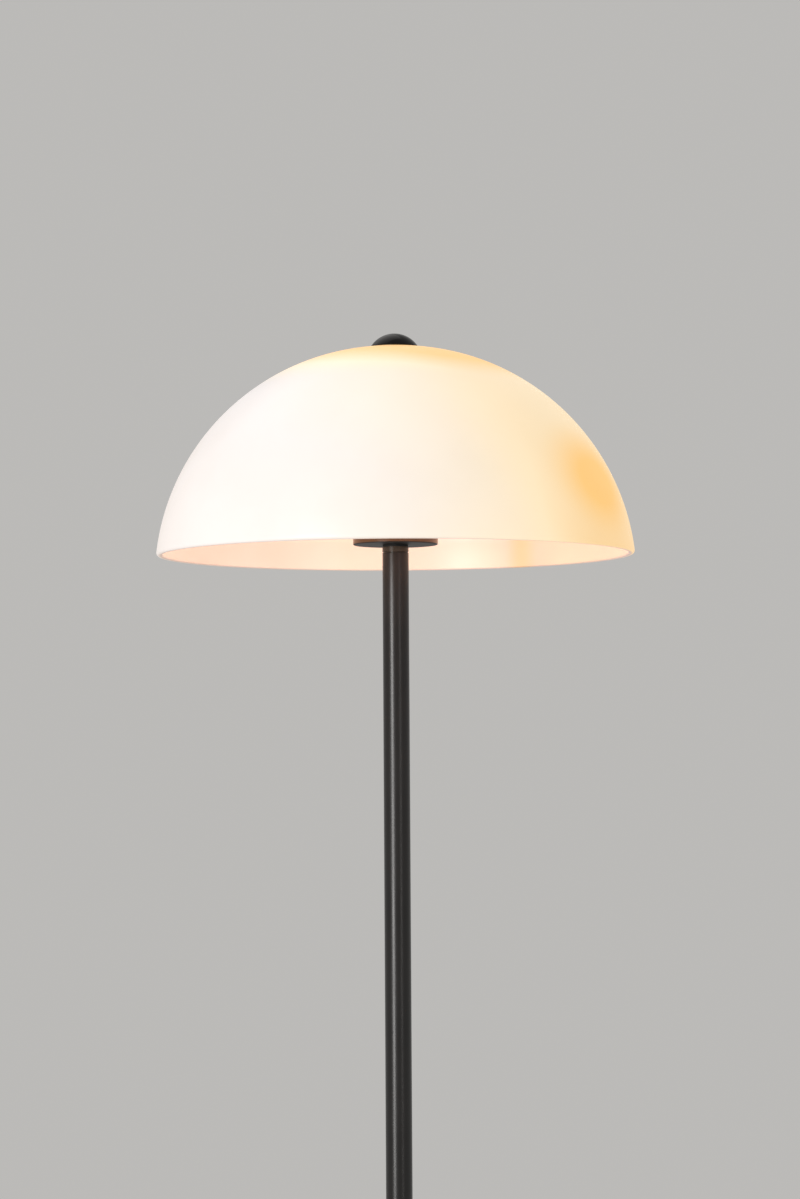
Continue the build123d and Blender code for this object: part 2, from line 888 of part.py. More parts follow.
pieces = {
    "base_pad": base_pad(),
    "base_weight": base_weight(),
    "base_cover": base_cover(),
    "cable_gland": cable_gland(),
    "cord_clamp": cord_clamp(),
    "cord_clamp_screws": cord_clamp_screws(),
    "terminal_block": terminal_block(),
    "terminal_screws": terminal_screws(),
    "base_washer": base_washer(),
    "base_nut": base_nut(),
    "base_nipple": base_nipple(),
    "pole_foot_plug": Pos(0, 0, pole_bottom_z) * end_plug(),
    "pole_lower": pole_tube(pole_bottom_z, pole_seam_z),
    "lower_joint_plug": Pos(0, 0, pole_seam_z) * Rot(180, 0, 0) * joint_plug(),
    "joint_nipple": joint_nipple(),
    "upper_joint_plug": Pos(0, 0, pole_seam_z) * joint_plug(),
    "pole_upper": pole_tube(pole_seam_z, pole_top_z),
    "pole_top_plug": Pos(0, 0, pole_top_z) * Rot(180, 0, 0) * end_plug(),
    "spacer_ring": spacer_ring(),
    "shade_pan": shade_pan(),
    "top_nipple": top_nipple(),
    "harp_saddle": harp_saddle(),
    "top_washer": top_washer(),
    "top_nut": top_nut(),
    "harp": harp(),
    "harp_sleeves": harp_sleeves(),
    "harp_stud": harp_stud(),
    "shade_seat": shade_seat(),
    "seat_gasket": seat_gasket(),
    "lampholder_cap": lampholder_cap(),
    "lampholder_core": lampholder_core(),
    "lampholder_contacts": lampholder_contacts(),
    "screw_shell": screw_shell(),
    "lampholder_skirt": lampholder_skirt(),
    "internal_lead": internal_lead(),
    "bulb_globe": bulb_globe(),
    "bulb_cap": bulb_cap(),
    "bulb_insulator": bulb_insulator(),
    "bulb_contact": bulb_contact(),
    "shade": shade(),
    "shade_bush": shade_bush(),
    "finial_washer": finial_washer(),
    "finial_insert": finial_insert(),
    "finial_knob": finial_knob(),
}

for name, piece in pieces.items():
    export_step(piece, f"parts/{name}.step")
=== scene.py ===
import bmesh
import bpy
import math
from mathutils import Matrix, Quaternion, Vector


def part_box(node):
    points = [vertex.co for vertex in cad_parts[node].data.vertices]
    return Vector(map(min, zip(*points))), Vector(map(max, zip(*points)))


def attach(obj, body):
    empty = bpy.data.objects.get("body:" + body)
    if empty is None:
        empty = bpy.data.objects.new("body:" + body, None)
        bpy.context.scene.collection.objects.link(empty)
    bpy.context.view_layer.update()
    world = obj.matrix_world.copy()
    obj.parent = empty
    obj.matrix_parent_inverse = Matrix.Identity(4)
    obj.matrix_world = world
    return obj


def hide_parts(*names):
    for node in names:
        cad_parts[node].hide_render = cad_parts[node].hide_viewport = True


# A mushroom floor lamp: its looks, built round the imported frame. Lengths are metres, +Z is up.

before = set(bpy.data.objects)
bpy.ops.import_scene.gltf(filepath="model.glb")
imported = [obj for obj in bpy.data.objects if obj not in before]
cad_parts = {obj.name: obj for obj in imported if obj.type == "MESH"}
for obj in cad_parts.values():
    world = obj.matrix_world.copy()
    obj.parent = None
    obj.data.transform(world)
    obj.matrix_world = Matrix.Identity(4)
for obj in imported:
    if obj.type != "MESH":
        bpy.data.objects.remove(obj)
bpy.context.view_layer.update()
print("frame loaded,", len(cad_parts), "nodes")


def bottomOf(node):
    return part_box(node)[0].z


def topOf(node):
    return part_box(node)[1].z


def radiusOf(node):
    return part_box(node)[1].x


rimHeight = bottomOf("shade")
closeTo = 0.00002        # how near a vertex lies to the place it is picked by
smoothAngle = math.radians(35)


# Modelling: each helper works on the piece being made.

def startPiece(name):
    # the primitive just added becomes a piece that sits at the origin
    piece = bpy.context.object
    piece.name = name
    piece.data.name = name
    bpy.ops.object.transform_apply(location=True, rotation=True, scale=True)
    return piece


def pickParts(piece, test, kind="VERT"):
    # selects the vertices that pass the test, or the edges of which both ends do
    bpy.ops.mesh.select_mode(type=kind)
    bpy.ops.mesh.select_all(action="DESELECT")
    mesh = bmesh.from_edit_mesh(piece.data)
    for part in mesh.verts if kind == "VERT" else mesh.edges:
        corners = [part] if kind == "VERT" else part.verts
        if all(test(corner.co) for corner in corners):
            part.select_set(True)
    mesh.select_flush_mode()
    bmesh.update_edit_mesh(piece.data)


def onRing(radius, height):
    def test(place):
        beside = abs(math.hypot(place.x, place.y) - radius) < closeTo
        return beside and abs(place.z - height) < closeTo
    return test


def stepTo(last, corner):
    # extrudes the picked ring from one corner of the outline to the next
    rise = (0, 0, corner[1] - last[1])
    bpy.ops.mesh.extrude_region_move(TRANSFORM_OT_translate={"value": rise})
    if corner[0] == 0:
        bpy.ops.mesh.merge(type="CENTER")
    elif corner[0] != last[0]:
        grow = corner[0] / last[0]
        bpy.ops.transform.resize(value=(grow, grow, 1), center_override=(0, 0, corner[1]))


def roundOff(piece, corners, segments=5):
    # bevels each ring whose corner has a third number, its rounding
    count = len(corners)
    for index, corner in enumerate(corners):
        if len(corner) < 3:
            continue
        before, after = corners[index - 1], corners[(index + 1) % count]
        intoIt = Vector((corner[0] - before[0], corner[1] - before[1]))
        outOfIt = Vector((after[0] - corner[0], after[1] - corner[1]))
        offset = corner[2] * math.tan(intoIt.angle(outOfIt) / 2)
        pickParts(piece, onRing(corner[0], corner[1]), "EDGE")
        bpy.ops.mesh.bevel(offset=offset, segments=segments, affect="EDGES", clamp_overlap=False)


def tidySurface(piece):
    # outward normals, smooth shading up to the angle, and flats that stay flat by their roundings
    bpy.ops.mesh.select_all(action="SELECT")
    bpy.ops.mesh.remove_doubles(threshold=closeTo / 10)
    bpy.ops.mesh.normals_make_consistent(inside=False)
    bpy.ops.object.mode_set(mode="OBJECT")
    bpy.ops.object.shade_smooth_by_angle(angle=smoothAngle)
    weighted = piece.modifiers.new("flats", "WEIGHTED_NORMAL")
    weighted.keep_sharp = True
    bpy.ops.object.modifier_apply(modifier=weighted.name)


def turned(name, corners, steps=128):
    # a lathe piece about Z. Corners are (radius, height) or (radius, height, rounding)
    solid = corners[0][0] == 0
    outline = corners[1:] if solid else corners
    bpy.ops.object.select_all(action="DESELECT")
    bpy.ops.mesh.primitive_circle_add(
        vertices=steps, radius=outline[0][0], location=(0, 0, outline[0][1])
    )
    piece = startPiece(name)
    bpy.ops.object.mode_set(mode="EDIT")
    bpy.ops.mesh.select_mode(type="VERT")
    bpy.ops.mesh.select_all(action="SELECT")
    for last, corner in zip(outline, outline[1:]):
        stepTo(last, corner)
    if solid:
        pickParts(piece, onRing(*outline[0][:2]), "EDGE")
        stepTo(outline[0], corners[0])
    else:
        stepTo(outline[-1], outline[0])
        bpy.ops.mesh.select_all(action="SELECT")
        bpy.ops.mesh.remove_doubles(threshold=closeTo / 10)
    roundOff(piece, corners)
    tidySurface(piece)
    return piece


def arcRadius(halfWidth, rise):
    # radius of the arc that is level at its top and falls by rise over halfWidth
    return (halfWidth ** 2 + rise ** 2) / (2 * rise)


def arcCorners(centre, radius, start, end, spans):
    turn = (end - start) / spans
    angles = [start + turn * index for index in range(spans + 1)]
    return [(centre[0] + radius * math.cos(a), centre[1] + radius * math.sin(a)) for a in angles]


def cutWith(piece, cutter):
    # takes the cutter's shape out of the piece, and removes the cutter
    bpy.ops.object.select_all(action="DESELECT")
    piece.select_set(True)
    bpy.context.view_layer.objects.active = piece
    cut = piece.modifiers.new("cut", "BOOLEAN")
    cut.object = cutter
    cut.solver = "EXACT"
    bpy.ops.object.modifier_apply(modifier=cut.name)
    bpy.data.objects.remove(cutter)


def settle(piece, body, slot, material, *nodes):
    # the piece takes the place of its CAD nodes, on their body
    piece.data.materials.clear()
    piece.data.materials.append(material)
    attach(piece, body)
    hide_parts(*nodes)


# Materials: small helpers that add and join nodes.

def addNode(tree, kind, options=None, inputs=None):
    # inputs are values, or the sockets that feed them
    node = tree.nodes.new("ShaderNode" + kind)
    for option, value in (options or {}).items():
        setattr(node, option, value)
    for socket, value in (inputs or {}).items():
        if isinstance(value, bpy.types.NodeSocket):
            tree.links.new(value, node.inputs[socket])
        else:
            node.inputs[socket].default_value = value
    return node


def addMath(tree, operation, *values):
    return addNode(tree, "Math", {"operation": operation}, dict(enumerate(values))).outputs[0]


def addMix(tree, amount, first, second):
    # a colour mix: its factor is socket 0, its colours are sockets 6 and 7
    return addNode(tree, "Mix", {"data_type": "RGBA"}, {0: amount, 6: first, 7: second}).outputs[2]


def addRange(tree, value, low, high, start=0.0, end=1.0):
    inputs = {"Value": value, "From Min": low, "From Max": high, "To Min": start, "To Max": end}
    return addNode(tree, "MapRange", {"interpolation_type": "SMOOTHSTEP"}, inputs).outputs[0]


def objectPlace(tree):
    return addNode(tree, "TexCoord").outputs["Object"]


def newGroup(name, inputs, outputs):
    # inputs are {name: (socket kind, default)}, outputs are {name: socket kind}
    group = bpy.data.node_groups.new(name, "ShaderNodeTree")
    for socket, (kind, value) in inputs.items():
        made = group.interface.new_socket(socket, in_out="INPUT", socket_type="NodeSocket" + kind)
        if value is not None:
            made.default_value = value
    for socket, kind in outputs.items():
        group.interface.new_socket(socket, in_out="OUTPUT", socket_type="NodeSocket" + kind)
    start = group.nodes.new("NodeGroupInput").outputs
    end = group.nodes.new("NodeGroupOutput").inputs
    return group, start, end


def useGroup(tree, group, inputs):
    return addNode(tree, "Group", {"node_tree": group}, inputs).outputs


def newMaterial(name, settings):
    # settings go on the shader's own sockets
    material = bpy.data.materials.new(name)
    material.use_nodes = True
    tree = material.node_tree
    shader = tree.nodes["Principled BSDF"]
    for socket, value in settings.items():
        shader.inputs[socket].default_value = value
    return material, tree, shader


def addBump(tree, shader, height, strength, distance):
    bump = addNode(tree, "Bump", None, {
        "Height": height, "Strength": strength, "Distance": distance,
    })
    tree.links.new(bump.outputs[0], shader.inputs["Normal"])


# Effects that several materials share.

def toneGroup():
    # slow drift of colour and roughness over the surface, with a little fine grain in the roughness
    inputs = {
        "Vector": ("Vector", None), "Scale": ("Float", 20.0),
        "First": ("Color", (0.1, 0.1, 0.1, 1)), "Second": ("Color", (0.2, 0.2, 0.2, 1)),
        "Smooth": ("Float", 0.3), "Rough": ("Float", 0.4),
    }
    tree, start, end = newGroup("toneDrift", inputs, {"Color": "Color", "Roughness": "Float"})
    slow = addNode(tree, "TexNoise", None, {
        "Vector": start["Vector"], "Scale": start["Scale"], "Detail": 4.0, "Roughness": 0.55,
    }).outputs[0]
    share = addRange(tree, slow, 0.3, 0.7)
    tree.links.new(addMix(tree, share, start["First"], start["Second"]), end["Color"])
    quick = addMath(tree, "MULTIPLY", start["Scale"], 23.0)
    fine = addNode(tree, "TexNoise", None, {
        "Vector": start["Vector"], "Scale": quick, "Detail": 2.0, "Roughness": 0.5,
    }).outputs[0]
    blend = addMath(
        tree, "ADD", addMath(tree, "MULTIPLY", share, 0.7), addMath(tree, "MULTIPLY", fine, 0.3)
    )
    rough = addNode(tree, "MapRange", None, {
        "Value": blend, "From Min": 0.0, "From Max": 1.0, "To Min": start["Smooth"],
        "To Max": start["Rough"],
    }).outputs[0]
    tree.links.new(rough, end["Roughness"])
    return tree


def grainGroup():
    # two sizes of grain in one height, for paint, casting and moulded skins
    inputs = {
        "Vector": ("Vector", None), "Coarse": ("Float", 700.0), "Fine": ("Float", 2600.0),
        "Share": ("Float", 0.3),
    }
    tree, start, end = newGroup("surfaceGrain", inputs, {"Height": "Float"})
    coarse = addNode(tree, "TexNoise", None, {
        "Vector": start["Vector"], "Scale": start["Coarse"], "Detail": 2.0, "Roughness": 0.45,
    }).outputs[0]
    fine = addNode(tree, "TexNoise", None, {
        "Vector": start["Vector"], "Scale": start["Fine"], "Detail": 1.0, "Roughness": 0.5,
    }).outputs[0]
    height = addNode(tree, "Mix", {"data_type": "FLOAT"}, {
        0: start["Share"], 2: coarse, 3: fine,
    }).outputs[0]
    tree.links.new(height, end["Height"])
    return tree


def latheGroup():
    # fine turning marks that run round the axis Z
    inputs = {"Vector": ("Vector", None), "Scale": ("Float", 2500.0)}
    tree, start, end = newGroup("latheMarks", inputs, {"Height": "Float"})
    parts = addNode(tree, "SeparateXYZ", None, {0: start["Vector"]}).outputs
    flat = addNode(tree, "CombineXYZ", None, {0: parts[0], 1: parts[1]}).outputs[0]
    radius = addNode(tree, "VectorMath", {"operation": "LENGTH"}, {0: flat}).outputs["Value"]
    section = addNode(tree, "CombineXYZ", None, {0: radius, 2: parts[2]}).outputs[0]
    marks = addNode(tree, "TexNoise", None, {
        "Vector": section, "Scale": start["Scale"], "Detail": 3.0, "Roughness": 0.7,
    }).outputs[0]
    tree.links.new(marks, end["Height"])
    return tree


def rubGroup():
    # where an edge is exposed: the rounded normal leaves the true one
    inputs = {"Reach": ("Float", 0.0006), "Vector": ("Vector", None), "Scale": ("Float", 400.0)}
    tree, start, end = newGroup("edgeRub", inputs, {"Mask": "Float"})
    rounded = addNode(tree, "Bevel", {"samples": 4}, {"Radius": start["Reach"]}).outputs[0]
    true = addNode(tree, "NewGeometry").outputs["Normal"]
    same = addNode(tree, "VectorMath", {"operation": "DOT_PRODUCT"}, {
        0: rounded, 1: true,
    }).outputs["Value"]
    edge = addRange(tree, same, 0.995, 0.86)
    uneven = addNode(tree, "TexNoise", None, {
        "Vector": start["Vector"], "Scale": start["Scale"], "Detail": 3.0,
    }).outputs[0]
    tree.links.new(addMath(tree, "MULTIPLY", edge, addRange(tree, uneven, 0.35, 0.7)), end["Mask"])
    return tree


tone, grain, lathe, rub = toneGroup(), grainGroup(), latheGroup(), rubGroup()


# Finishes, one for each slot of the record.

def useTone(tree, shader, place, look):
    outputs = useGroup(tree, tone, {
        "Vector": place, "Scale": look["drift"],
        "First": (*look["dark"], 1), "Second": (*look["light"], 1),
        "Smooth": look["smooth"], "Rough": look["rough"],
    })
    tree.links.new(outputs["Color"], shader.inputs["Base Color"])
    tree.links.new(outputs["Roughness"], shader.inputs["Roughness"])
    return outputs


blackPaint = {
    "drift": 14.0, "dark": (0.0052, 0.0045, 0.0042), "light": (0.0080, 0.0069, 0.0064),
    "smooth": 0.27, "rough": 0.33, "peel": 620.0, "powder": 2400.0, "peelDepth": 0.00002,
    "edge": (0.045, 0.041, 0.038), "edgeReach": 0.0005, "edgeScale": 500.0, "specular": 0.44,
}


glossBlack = {
    "drift": 30.0, "dark": (0.0030, 0.0020, 0.0020), "light": (0.0046, 0.0032, 0.0032),
    "smooth": 0.11, "rough": 0.16, "peel": 260.0, "powder": 1500.0, "peelDepth": 0.00002,
    "edge": (0.030, 0.026, 0.025), "edgeReach": 0.0004, "edgeScale": 500.0, "specular": 0.17,
}


def blackCoat(name, look):
    material, tree, shader = newMaterial(name, {"Specular IOR Level": look["specular"]})
    place = objectPlace(tree)
    outputs = useTone(tree, shader, place, look)
    mask = useGroup(tree, rub, {
        "Vector": place, "Reach": look["edgeReach"], "Scale": look["edgeScale"],
    })["Mask"]
    worn = addMix(tree, mask, outputs["Color"], (*look["edge"], 1))
    tree.links.new(worn, shader.inputs["Base Color"])
    if "under" in look:
        # walls get a painted warm reflection of the lit shade in their base colour, and undersides,
        # which the spray reaches last, are rougher
        normal = addNode(tree, "NewGeometry").outputs["Normal"]
        facing = addNode(tree, "SeparateXYZ", None, {0: normal}).outputs[2]
        wall = addRange(tree, addMath(tree, "ABSOLUTE", facing), 0.7, 0.2)
        tree.links.new(addMix(tree, wall, worn, (*look["wall"], 1)), shader.inputs["Base Color"])
        below = addRange(tree, facing, -0.3, -0.8)
        rough = addNode(tree, "Mix", {"data_type": "FLOAT"}, {
            0: below, 2: outputs["Roughness"], 3: look["under"],
        })
        tree.links.new(rough.outputs[0], shader.inputs["Roughness"])
    height = useGroup(tree, grain, {
        "Vector": place, "Coarse": look["peel"], "Fine": look["powder"], "Share": 0.25,
    })
    addBump(tree, shader, height["Height"], 0.35, look["peelDepth"])
    return material


castIron = {
    "drift": 45.0, "dark": (0.055, 0.052, 0.050), "light": (0.125, 0.115, 0.105),
    "smooth": 0.62, "rough": 0.85, "metallic": 0.6,
    "coarse": 420.0, "fine": 1500.0, "fineShare": 0.4, "bump": 0.8, "depth": 0.0003,
}


def ironCasting(look):
    material, tree, shader = newMaterial("castIron", {"Metallic": look["metallic"]})
    place = objectPlace(tree)
    useTone(tree, shader, place, look)
    height = useGroup(tree, grain, {
        "Vector": place, "Coarse": look["coarse"], "Fine": look["fine"], "Share": look["fineShare"],
    })
    addBump(tree, shader, height["Height"], look["bump"], look["depth"])
    return material


turningMarks = {"scale": 2600.0, "bump": 0.5, "depth": 0.00003}
zincPlate = {
    "drift": 90.0, "dark": (0.50, 0.51, 0.52), "light": (0.62, 0.62, 0.60),
    "smooth": 0.24, "rough": 0.40,
}
brightBrass = {
    "drift": 110.0, "dark": (0.66, 0.45, 0.19), "light": (0.82, 0.61, 0.30),
    "smooth": 0.20, "rough": 0.34,
}
nickelPlate = {
    "drift": 70.0, "dark": (0.60, 0.58, 0.54), "light": (0.71, 0.69, 0.65),
    "smooth": 0.16, "rough": 0.28,
}


def turnedMetal(name, look):
    material, tree, shader = newMaterial(name, {"Metallic": 1.0})
    place = objectPlace(tree)
    useTone(tree, shader, place, look)
    height = useGroup(tree, lathe, {"Vector": place, "Scale": turningMarks["scale"]})
    addBump(tree, shader, height["Height"], turningMarks["bump"], turningMarks["depth"])
    return material


skinBump = 0.5           # strength of the skin on every moulded piece
blackRubber = {
    "drift": 60.0, "dark": (0.006, 0.006, 0.006), "light": (0.014, 0.013, 0.012),
    "smooth": 0.62, "rough": 0.80, "coarse": 900.0, "fine": 2800.0, "depth": 0.00012,
}
clearSilicone = {
    "drift": 90.0, "dark": (0.68, 0.68, 0.66), "light": (0.80, 0.80, 0.78),
    "smooth": 0.30, "rough": 0.46, "coarse": 300.0, "fine": 1200.0, "depth": 0.00004,
}
blackNylon = {
    "drift": 80.0, "dark": (0.013, 0.013, 0.013), "light": (0.024, 0.023, 0.022),
    "smooth": 0.42, "rough": 0.54, "coarse": 1400.0, "fine": 3600.0, "depth": 0.00006,
}
whiteNylon = {
    "drift": 80.0, "dark": (0.74, 0.73, 0.69), "light": (0.83, 0.82, 0.79),
    "smooth": 0.38, "rough": 0.50, "coarse": 1400.0, "fine": 3600.0, "depth": 0.00005,
}
greyJacket = {
    "drift": 60.0, "dark": (0.62, 0.61, 0.58), "light": (0.72, 0.71, 0.68),
    "smooth": 0.45, "rough": 0.58, "coarse": 500.0, "fine": 2200.0, "depth": 0.00004,
}
ceramicBody = {
    "drift": 130.0, "dark": (0.76, 0.73, 0.66), "light": (0.87, 0.85, 0.80),
    "smooth": 0.55, "rough": 0.75, "coarse": 1100.0, "fine": 3200.0, "depth": 0.00010,
}
blackVitrite = {
    "drift": 150.0, "dark": (0.010, 0.008, 0.014), "light": (0.024, 0.018, 0.030),
    "smooth": 0.08, "rough": 0.16, "coarse": 260.0, "fine": 1500.0, "depth": 0.00003,
}


def moulded(name, look, settings=None):
    material, tree, shader = newMaterial(name, settings or {})
    place = objectPlace(tree)
    useTone(tree, shader, place, look)
    height = useGroup(tree, grain, {
        "Vector": place, "Coarse": look["coarse"], "Fine": look["fine"], "Share": 0.5,
    })
    addBump(tree, shader, height["Height"], skinBump, look["depth"])
    return material


opalGlass = {
    # the base colour carries painted light and shade: whiter on the lit left, warmer on the shaded
    # right and at the crown
    "litLeftBody": (0.66, 0.652, 0.640), "shadedRightBody": (0.66, 0.560, 0.350), "bodySpan": (-0.12, 0.17),
    "crownBody": (0.66, 0.600, 0.470), "deeper": (0.94, 0.93, 0.91),
    "smooth": 0.30, "rough": 0.38, "drift": 9.0, "glow": 3.0, "specular": 0.4,
    "wave": 0.0004, "waveScale": 14.0, "waveBump": 0.3,
    "arcCentre": (0.006, -0.020), "midWall": 0.1925, "wallBlend": 0.0015,    # from the rim's middle
    # painted light keeps the glow whiter on the left, where the studio light falls, and painted
    # shade warms it for each metre to the right
    "warmth": 0.50, "paintedSideShade": 0.92,           # at the middle, and for each metre to the right
    "behind": {"from": -0.010, "to": 0.140, "warmth": 0.52},
    # painted shade at the crown, under the seat: the glow and the base colour turn warmer there
    "crown": {"from": 0.136, "to": 0.172, "warmth": 0.34},
    # patches in the glow: painted shade on the right side, a painted amber reflection, and a paler
    # patch of painted light at the front
    "patches": {
        "paintedShadeRight": {
            "place": (0.101, 0.0, 0.048), "size": (0.174, 0.199, 0.072), "tilt": 0.93,
            "warmth": 0.49,
        },
        "paintedReflectionAmber": {
            "place": (0.148, -0.078, 0.054), "size": (0.054, 0.080, 0.066), "tilt": -1.20,
            "warmth": 0.25,
        },
        "paintedLightFront": {
            "place": (-0.022, -0.090, 0.0), "size": (0.250, 0.250, 0.136), "tilt": -0.41,
            "warmth": -0.19,
        },
    },
    "stops": [
        (0.31, (0.120, 0.100, 0.090)), (0.40, (0.135, 0.121, 0.119)),
        (0.60, (0.207, 0.161, 0.107)), (0.80, (0.224, 0.112, 0.014)),
    ],
    "insideLeft": (0.80, 0.44, 0.25), "insideRight": (0.80, 0.49, 0.56),
    "insideSpan": (-0.06, 0.07),
    "deep": {"from": 0.020, "to": 0.075, "rimShare": 0.12},     # brighter up by the bulb
    # a deeper orange vertical stripe of painted shade on the inner wall, right of the middle
    "band": {"place": 0.112, "half": 0.016, "colour": (0.80, 0.39, 0.18)},
}


def wallFacing(tree, parts, look):
    # 1 on the glass's outer face and 0 on its inner one, by the distance from the arc's centre
    flat = addNode(tree, "CombineXYZ", None, {0: parts[0], 1: parts[1]}).outputs[0]
    radius = addNode(tree, "VectorMath", {"operation": "LENGTH"}, {0: flat}).outputs["Value"]
    across = addMath(tree, "SUBTRACT", radius, look["arcCentre"][0])
    above = addMath(tree, "SUBTRACT", parts[2], look["arcCentre"][1])
    section = addNode(tree, "CombineXYZ", None, {0: across, 1: above}).outputs[0]
    wall = addNode(tree, "VectorMath", {"operation": "LENGTH"}, {0: section}).outputs["Value"]
    return addRange(
        tree, wall, look["midWall"] - look["wallBlend"], look["midWall"] + look["wallBlend"]
    )


def outerWarmth(tree, centred, parts, look):
    # how golden the glow is: warmer to the right and at the crown, as painted shade, with patches
    # of painted light, shade and reflection, and even at the back
    side = addMath(tree, "MULTIPLY_ADD", parts[0], look["paintedSideShade"], look["warmth"])
    behind = look["behind"]
    share = addRange(tree, parts[1], behind["from"], behind["to"])
    total = addNode(tree, "Mix", {"data_type": "FLOAT"}, {
        0: share, 2: side, 3: behind["warmth"],
    }).outputs[0]
    crown = look["crown"]
    crownShadeShare = addRange(tree, parts[2], crown["from"], crown["to"], 0.0, crown["warmth"])
    total = addMath(tree, "ADD", total, crownShadeShare)
    for patch in look["patches"].values():
        tilted = addNode(tree, "Mapping", {"vector_type": "TEXTURE"}, {
            "Vector": centred, "Location": patch["place"], "Rotation": (0, patch["tilt"], 0),
            "Scale": patch["size"],
        }).outputs[0]
        soft = addNode(tree, "TexGradient", {"gradient_type": "SPHERICAL"}, {
            0: tilted,
        }).outputs["Fac"]
        total = addMath(tree, "ADD", total, addRange(tree, soft, 0.0, 1.0, 0.0, patch["warmth"]))
    return total


def shadeGlow(look):
    # blown opal glass, lit from within; its base colour and glow also carry painted light, painted
    # shade and a painted reflection
    material, tree, shader = newMaterial("opalGlass", {
        "Emission Strength": look["glow"], "Specular IOR Level": look["specular"],
    })
    place = objectPlace(tree)
    centred = addNode(tree, "Mapping", None, {
        "Vector": place, "Location": (0, 0, -rimHeight),
    }).outputs[0]
    parts = addNode(tree, "SeparateXYZ", None, {0: centred}).outputs
    warmth = outerWarmth(tree, centred, parts, look)
    ramp = addNode(tree, "ValToRGB", None, {0: warmth})
    stops = ramp.color_ramp.elements
    while len(stops) < len(look["stops"]):
        stops.new(1.0)
    for stop, (position, colour) in zip(stops, look["stops"]):
        stop.position, stop.color = position, (*colour, 1)
    across = addRange(tree, parts[0], *look["insideSpan"])
    inward = addMix(tree, across, (*look["insideLeft"], 1), (*look["insideRight"], 1))
    # the stripe of painted shade on the inner wall
    band = look["band"]
    offBand = addMath(tree, "ABSOLUTE", addMath(tree, "SUBTRACT", parts[0], band["place"]))
    inward = addMix(tree, addRange(tree, offBand, band["half"], 0.0), inward, (*band["colour"], 1))
    deep = look["deep"]
    lift = addRange(tree, parts[2], deep["from"], deep["to"], deep["rimShare"], 1.0)
    inward = addMix(tree, lift, (0, 0, 0, 1), inward)
    glow = addMix(tree, wallFacing(tree, parts, look), inward, ramp.outputs[0])
    tree.links.new(glow, shader.inputs["Emission Color"])
    # painted light and shade in the base colour: whiter on the lit left, warmer to the right and at
    # the crown
    across = addRange(tree, parts[0], *look["bodySpan"])
    body = addMix(tree, across, (*look["litLeftBody"], 1), (*look["shadedRightBody"], 1))
    crown = look["crown"]
    crownShadeShare = addRange(tree, parts[2], crown["from"], crown["to"])
    body = addMix(tree, crownShadeShare, body, (*look["crownBody"], 1))
    deeper = addMix(tree, 1.0, body, (*look["deeper"], 1))
    deeper.node.blend_type = "MULTIPLY"
    outputs = useGroup(tree, tone, {
        "Vector": place, "Scale": look["drift"], "First": deeper, "Second": body,
        "Smooth": look["smooth"], "Rough": look["rough"],
    })
    tree.links.new(outputs["Color"], shader.inputs["Base Color"])
    tree.links.new(outputs["Roughness"], shader.inputs["Roughness"])
    wave = addNode(tree, "TexNoise", None, {
        "Vector": place, "Scale": look["waveScale"], "Detail": 1.0,
    }).outputs[0]
    addBump(tree, shader, wave, look["waveBump"], look["wave"])
    return material


bulbGlass = {
    "drift": 35.0, "dark": (0.44, 0.42, 0.39), "light": (0.50, 0.48, 0.45),
    "smooth": 0.34, "rough": 0.44,
    "glow": 0.62, "neckGlow": (0.85, 0.55, 0.27), "topGlow": (1.0, 0.83, 0.58), "evenAbove": 0.02,
    "coarse": 1800.0, "fine": 5200.0, "bump": 0.3, "depth": 0.00002,
}


def bulbGlow(look):
    # frosted bulb: brightest at its top, a little deeper at the neck
    material, tree, shader = newMaterial("bulbGlass", {"Emission Strength": look["glow"]})
    place = objectPlace(tree)
    useTone(tree, shader, place, look)
    height = addNode(tree, "SeparateXYZ", None, {0: place}).outputs[2]
    up = addRange(tree, height, bottomOf("bulb_globe"), topOf("bulb_globe") - look["evenAbove"])
    glow = addMix(tree, up, (*look["neckGlow"], 1), (*look["topGlow"], 1))
    tree.links.new(glow, shader.inputs["Emission Color"])
    frost = useGroup(tree, grain, {
        "Vector": place, "Coarse": look["coarse"], "Fine": look["fine"], "Share": 0.5,
    })
    addBump(tree, shader, frost["Height"], look["bump"], look["depth"])
    return material


finishes = {
    "black_coat": blackCoat("blackCoat", blackPaint),
    "cast_iron": ironCasting(castIron),
    "zinc_steel": turnedMetal("zincSteel", zincPlate),
    "brass": turnedMetal("brass", brightBrass),
    "cap_nickel": turnedMetal("capNickel", nickelPlate),
    "black_rubber": moulded("blackRubber", blackRubber),
    "clear_silicone": moulded("clearSilicone", clearSilicone, {"Transmission Weight": 0.4}),
    "black_nylon": moulded("blackNylon", blackNylon),
    "white_nylon": moulded("whiteNylon", whiteNylon),
    "lead_jacket": moulded("leadJacket", greyJacket),
    "ceramic": moulded("ceramic", ceramicBody),
    "black_vitrite": moulded("blackVitrite", blackVitrite),
    "opal_glass": shadeGlow(opalGlass),
    "bulb_glass": bulbGlow(bulbGlass),
}

knobCoat = blackCoat("knobCoat", glossBlack)
# the pan's coat: its "wall" colour is a painted warm reflection of the lit shade, and its
# undersides are rougher
panCoatPaintedReflection = blackCoat("panCoatPaintedReflection", {
    **blackPaint, "under": 0.5, "wall": (0.070, 0.036, 0.015), "specular": 0.40,
})
# the top flange's coat is painted warm brown: painted light from the shade's glow just above it
flangeCoatPaintedGlow = blackCoat("flangeCoatPaintedGlow", {
    **blackPaint, "dark": (0.050, 0.034, 0.021), "light": (0.062, 0.043, 0.028),
})

slotOf = {}
for name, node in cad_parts.items():
    slot = node.material_slots[0]
    slotOf[name] = slot.material.name
    slot.material = finishes[slotOf[name]]
print("finishes made:", len(finishes))


# The shade.

shadeGlass = {
    "radius": 0.200, "height": 0.175, "crownFlat": 0.006, "crownWall": 0.0042, "rimWall": 0.0055,
    "outerRound": 0.0025, "innerRound": 0.0015, "hole": 0.007, "holeRound": 0.0004,
    "topLand": 0.015, "seatLand": 0.026, "steps": 288, "spans": 52,
}


